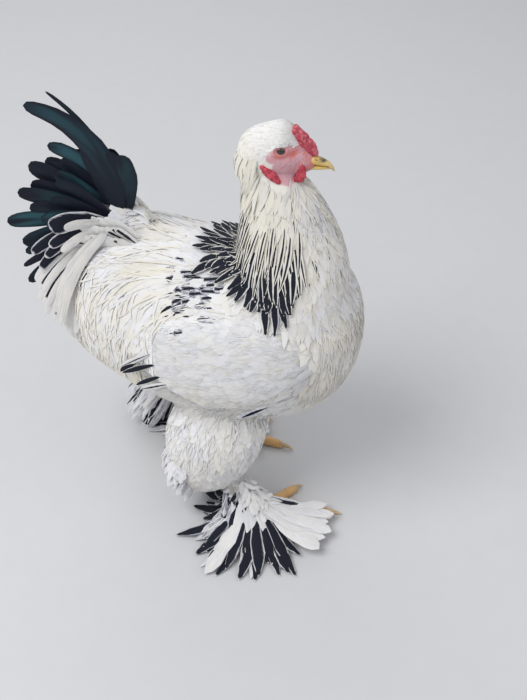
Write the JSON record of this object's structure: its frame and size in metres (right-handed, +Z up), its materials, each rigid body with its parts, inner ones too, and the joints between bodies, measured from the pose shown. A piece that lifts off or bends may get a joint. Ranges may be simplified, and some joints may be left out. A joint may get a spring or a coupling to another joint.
{
  "type": "brahma chicken",
  "caption": "Still life-size model of a young light Brahma cockerel standing on feathered feet, head up and tail raised.",
  "frame": {"origin": "on the floor, under the middle of the bird's length and width", "axes": "+X towards the beak, +Y towards the bird's left side, +Z up"},
  "size_m": [0.4212, 0.393, 0.5245],
  "materials": {
    "plumage_white": "soft matt feather, cream to bluish white",
    "plumage_black": "glossy black feather with a green sheen",
    "skin_pink": "bare pink skin",
    "comb_red": "fleshy red, slightly moist",
    "beak_yellow": "smooth horn, yellow with a dark stripe",
    "eye_brown": "wet, very dark brown",
    "leg_yellow": "scaled yellow-orange skin",
    "claw_horn": "pale horn"
  },
  "bodies": {
    "root": {"beak_lower": "beak_yellow", "beak_upper": "beak_yellow", "comb": "comb_red", "earlobe_left": "comb_red", "earlobe_right": "comb_red", "eye_left": "eye_brown", "eye_right": "eye_brown", "foot_left": "leg_yellow", "foot_right": "leg_yellow", "head": "skin_pink", "hind_claw_left": "claw_horn", "hind_claw_right": "claw_horn", "inner_claw_left": "claw_horn", "inner_claw_right": "claw_horn", "middle_claw_left": "claw_horn", "middle_claw_right": "claw_horn", "neck": "plumage_white", "outer_claw_left": "claw_horn", "outer_claw_right": "claw_horn", "shank_left": "plumage_white", "shank_right": "plumage_white", "tail": "plumage_black", "thigh_left": "plumage_white", "thigh_right": "plumage_white", "torso": "plumage_white", "wattle_left": "comb_red", "wattle_right": "comb_red", "wing_left": "plumage_white", "wing_right": "plumage_white"}
  },
  "joints": []
}
